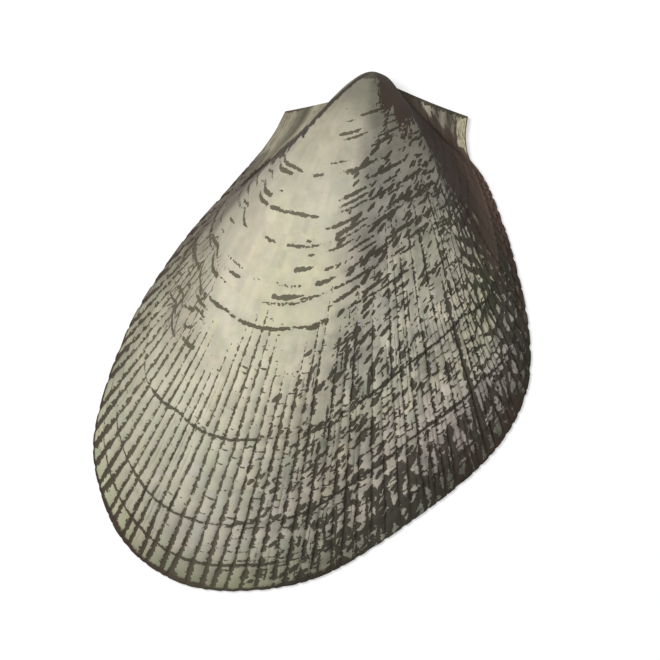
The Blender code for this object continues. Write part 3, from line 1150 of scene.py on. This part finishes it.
def outside_material():
    """Washes of colour with dark lines over them, as in a coloured engraving."""
    material, tree, shader = new_material("shell_outside")
    place = node(tree, "TexCoord", "Object")
    ink = all_ink(tree, place)
    wash = attribute(tree, "wash", "Color")
    patch = soft_step(noise(place, 260.0, 3.0, 0.6), 0.35, 0.68)
    patch = patch * (attribute(tree, "ragged") * 0.5 + 0.5)
    ground = mixed(tree, patch, wash, mixed(tree, 1.0, wash, PATCH_SHADE, "MULTIPLY"))
    colour = mixed(tree, ink, ground, attribute(tree, "line_tone", "Color"))
    grain = noise(place, 700.0, 4.0)
    feed_all(shader, Base_Color=colour, Roughness=grain * 0.25 + 0.5, Specular_IOR_Level=0.25)
    add_bump(shader, grain - ink * 0.5, 0.35)
    return material


def hinge_lines(place):
    """Coordinates for streaks along the hinge line."""
    x = node(place.tree, "SeparateXYZ", "X", Vector=place)
    return x.beside("Y") * 1500.0, x * 2.0


def growth_lines(place):
    """Coordinates for rays along the ribs and for bands across them."""
    return attribute(place.tree, "rib"), attribute(place.tree, "growth")


def plain_material(name, colour, darker, roughness, lines=growth_lines):
    """Chalky shell with growth bands along its lines and a fine grain."""
    material, tree, shader = new_material(name)
    place = node(tree, "TexCoord", "Object")
    across, along = lines(place)
    rays = noise(joined(across * 1.3, along * 2.0), 1.0)
    bands = noise(joined(across * 0.05, along * 40.0), 1.0, 3.0)
    share = noise(place, 70.0, 4.0, 0.6) * 0.5 + (rays * 0.25 + bands * 0.25)
    tone = mixed(tree, soft_step(share, 0.35, 0.68), (*colour, 1), (*darker, 1))
    feed_all(shader, Base_Color=tone, Roughness=bands * 0.2 + roughness)
    add_bump(shader, share, 0.25)
    return material


# ---- the valve

SHELL_MATERIALS = (
    outside_material(),
    plain_material("shell_inside", srgb(226, 221, 206), srgb(196, 188, 168), 0.28),
    plain_material("cardinal_area", srgb(196, 186, 160), srgb(150, 138, 114), 0.5, hinge_lines),
    plain_material("ligament_pit", srgb(120, 96, 70), srgb(78, 60, 44), 0.5, hinge_lines),
)
valve = outside_body()
hollowed(valve, (cavity_cutter(), cardinal_cutter(), ligament_pit_cutter()), SHELL_MATERIALS)
settle(valve)
smooth_but_for_borders(valve)
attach(valve, "root")
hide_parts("valve")

# ---- floor, light, camera

# Metres, but for the lens and sensor.
FLOOR_REACH = 3.0
PAPER = 0.6  # the floor's grey under the lamp
PAPER_GLOW = 0.5  # and what it adds to be white in the picture
SKY = 0.3
KEY_PLACE, KEY_SIZE, KEY_WATTS = (-0.34, 0.27, 0.82), 0.4, 6.6
FIELD = 0.114675  # the picture's width at the floor
LENS, SENSOR = 250.0, 36.0
CAMERA_X, CAMERA_Y = 0.00313, 0.00035


def paper_material():
    """Grey paper that keeps the shell's shadow, and is white to the camera."""
    material, tree, shader = new_material("paper")
    seen = node(tree, "LightPath", "Is Camera Ray")
    feed_all(shader, Base_Color=(PAPER, PAPER, PAPER, 1), Roughness=0.9, Specular_IOR_Level=0.0)
    feed_all(shader, Emission_Color=(1, 1, 1, 1), Emission_Strength=seen * PAPER_GLOW)
    return material


def paper_floor():
    data = bpy.data.meshes.new("floor")
    data.from_pydata([(-1, -1, 0), (1, -1, 0), (1, 1, 0), (-1, 1, 0)], [], [(0, 1, 2, 3)])
    data.transform(Matrix.Scale(FLOOR_REACH, 4))
    data.materials.append(paper_material())
    return in_scene("floor", data)


def studio_light():
    """A pale sky and one wide lamp at the upper left."""
    world = bpy.data.worlds.new("studio")
    bpy.context.scene.world = world
    world.use_nodes = True
    feed_all(world.node_tree.nodes["Background"], Color=(1, 1, 1, 1), Strength=SKY)
    light = bpy.data.lights.new("key", "AREA")
    light.shape = "SQUARE"
    light.size = KEY_SIZE
    light.energy = KEY_WATTS
    key = in_scene("key", light)
    key.location = KEY_PLACE
    key.rotation_mode = "QUATERNION"
    key.rotation_quaternion = (-Vector(KEY_PLACE)).to_track_quat("-Z", "Y")


def camera_above():
    """Looks straight down on the valve, as the engraving does."""
    data = bpy.data.cameras.new("camera")
    data.lens = LENS
    data.sensor_width = SENSOR
    data.clip_start, data.clip_end = 0.01, 20.0
    camera = in_scene("camera", data)
    camera.location = (CAMERA_X, CAMERA_Y, FIELD * LENS / SENSOR)
    bpy.context.scene.camera = camera


floor = paper_floor()
studio_light()
camera_above()
bpy.context.scene.view_settings.view_transform = "Standard"
